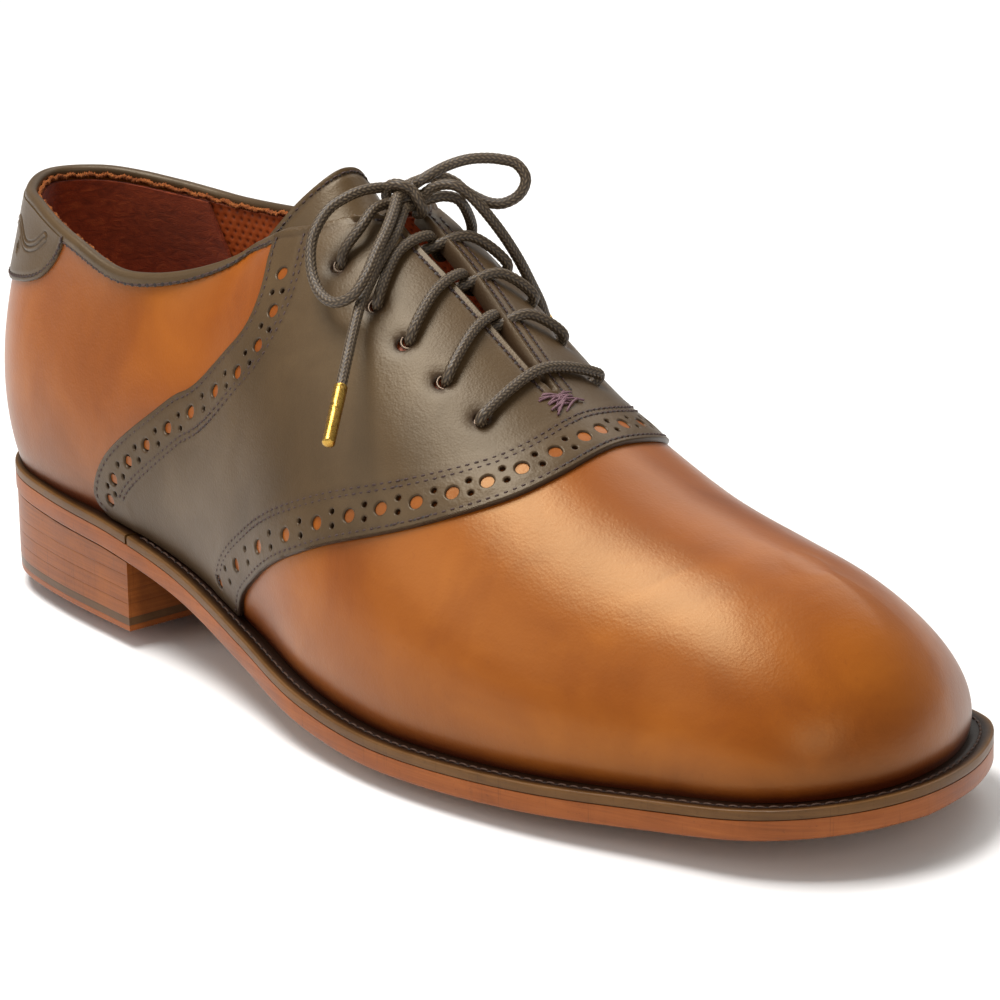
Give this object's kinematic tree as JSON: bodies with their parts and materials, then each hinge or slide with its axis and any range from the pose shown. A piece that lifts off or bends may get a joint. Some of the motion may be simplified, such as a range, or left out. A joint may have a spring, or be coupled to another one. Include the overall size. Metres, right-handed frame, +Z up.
{
  "type": "golf shoe",
  "caption": "Right saddle oxford golf shoe with welted leather sole, stacked heel, laced facings with bow, moving tongue and quarter-turn cleats",
  "frame": {"origin": "middle of the box, on the plane the cleats stand on", "axes": "+X to the toe, -Y to the outer side, +Z up"},
  "size_m": [0.3121, 0.109, 0.1263],
  "materials": {
    "tan_leather": "burnished tan calf, smooth, semi-gloss",
    "taupe_leather": "dark taupe smooth leather, satin",
    "stiffener": "plain reinforcement",
    "dark_lining": "dark red-brown sueded lining",
    "tan_lining": "dimpled orange-tan lining leather",
    "waxed_lace": "round waxed braided cord",
    "aglet_brass": "brass tube, polished",
    "eyelet_metal": "dull metal ring",
    "thread": "waxed thread",
    "insole_leather": "plain vegetable-tanned leather",
    "cork": "granulated cork",
    "shank_steel": "bare spring steel",
    "welt_leather": "dark brown, waxed edge",
    "sole_leather": "reddish brown polished edge",
    "heel_leather": "stacked leather, polished edge",
    "heel_rubber": "dark brown rubber",
    "nail_steel": "bare steel",
    "receptacle_plastic": "moulded nylon",
    "cleat_plastic": "moulded urethane, satin"
  },
  "bodies": {
    "shoe": {"vamp": "tan_leather", "vamp_lining": "dark_lining", "toe_puff": "stiffener", "quarter_lateral": "tan_leather", "quarter_medial": "tan_leather", "quarter_lining_lateral": "tan_lining", "quarter_lining_medial": "tan_lining", "heel_counter": "stiffener", "heel_grip": "dark_lining", "heel_tab": "taupe_leather", "collar_binding": "taupe_leather", "saddle": "taupe_leather", "facing_stay_lateral": "stiffener", "facing_stay_medial": "stiffener", "eyelet_rings": "eyelet_metal", "throat_bar_tack": "thread", "lace": "waxed_lace", "lace_knot": "waxed_lace", "bow_loop_lateral": "waxed_lace", "bow_loop_medial": "waxed_lace", "lace_end_lateral": "waxed_lace", "lace_end_medial": "waxed_lace", "aglet_lateral": "aglet_brass", "aglet_medial": "aglet_brass", "sock_liner": "dark_lining", "insole": "insole_leather", "cork_filler": "cork", "steel_shank": "shank_steel", "welt": "welt_leather", "heel_rand": "welt_leather", "outsole": "sole_leather", "heel_wedge": "heel_leather", "heel_lift_upper": "heel_leather", "heel_lift_middle": "heel_leather", "heel_lift_lower": "heel_leather", "heel_rubber_band": "heel_rubber", "heel_top_piece": "heel_leather", "heel_nails": "nail_steel", "forefoot_receptacles": "receptacle_plastic", "heel_receptacles": "receptacle_plastic"},
    "tongue": {"tongue": "taupe_leather", "tongue_lining": "dark_lining"},
    "cleat_1": {"cleat_1": "cleat_plastic"},
    "cleat_2": {"cleat_2": "cleat_plastic"},
    "cleat_3": {"cleat_3": "cleat_plastic"},
    "cleat_4": {"cleat_4": "cleat_plastic"},
    "cleat_5": {"cleat_5": "cleat_plastic"},
    "cleat_6": {"cleat_6": "cleat_plastic"},
    "cleat_7": {"cleat_7": "cleat_plastic"},
    "cleat_8": {"cleat_8": "cleat_plastic"},
    "cleat_9": {"cleat_9": "cleat_plastic"},
    "cleat_10": {"cleat_10": "cleat_plastic"},
    "cleat_11": {"cleat_11": "cleat_plastic"}
  },
  "joints": [
    {"name": "tongue_hinge", "type": "hinge", "parent": "shoe", "child": "tongue", "pos_m": [0.045, -0.0022, 0.074], "axis": [0, 1, 0], "range_deg": [-8, 0]},
    {"name": "cleat_1_lock", "type": "hinge", "parent": "shoe", "child": "cleat_1", "pos_m": [0.021, -0.0252, 0.00564], "axis": [0.0988, 0, 0.9951], "range_deg": [0, 60]},
    {"name": "cleat_2_lock", "type": "hinge", "parent": "shoe", "child": "cleat_2", "pos_m": [0.021, 0.0188, 0.00564], "axis": [0.0988, 0, 0.9951], "range_deg": [0, 60]},
    {"name": "cleat_3_lock", "type": "hinge", "parent": "shoe", "child": "cleat_3", "pos_m": [0.057, -0.0302, 0.0046], "axis": [-0.0143, 0, 0.9999], "range_deg": [0, 60]},
    {"name": "cleat_4_lock", "type": "hinge", "parent": "shoe", "child": "cleat_4", "pos_m": [0.057, 0.0298, 0.0046], "axis": [-0.0143, 0, 0.9999], "range_deg": [0, 60]},
    {"name": "cleat_5_lock", "type": "hinge", "parent": "shoe", "child": "cleat_5", "pos_m": [0.091, -0.0212, 0.00567], "axis": [-0.0488, 0, 0.9988], "range_deg": [0, 60]},
    {"name": "cleat_6_lock", "type": "hinge", "parent": "shoe", "child": "cleat_6", "pos_m": [0.091, 0.0328, 0.00567], "axis": [-0.0488, 0, 0.9988], "range_deg": [0, 60]},
    {"name": "cleat_7_lock", "type": "hinge", "parent": "shoe", "child": "cleat_7", "pos_m": [0.123, 0.0088, 0.00776], "axis": [-0.0812, 0, 0.9967], "range_deg": [0, 60]},
    {"name": "cleat_8_lock", "type": "hinge", "parent": "shoe", "child": "cleat_8", "pos_m": [-0.129, -0.0142, 0.0045], "axis": [0, 0, 1], "range_deg": [0, 60]},
    {"name": "cleat_9_lock", "type": "hinge", "parent": "shoe", "child": "cleat_9", "pos_m": [-0.129, 0.0118, 0.0045], "axis": [0, 0, 1], "range_deg": [0, 60]},
    {"name": "cleat_10_lock", "type": "hinge", "parent": "shoe", "child": "cleat_10", "pos_m": [-0.093, -0.0202, 0.0045], "axis": [0, 0, 1], "range_deg": [0, 60]},
    {"name": "cleat_11_lock", "type": "hinge", "parent": "shoe", "child": "cleat_11", "pos_m": [-0.093, 0.0178, 0.0045], "axis": [0, 0, 1], "range_deg": [0, 60]}
  ]
}
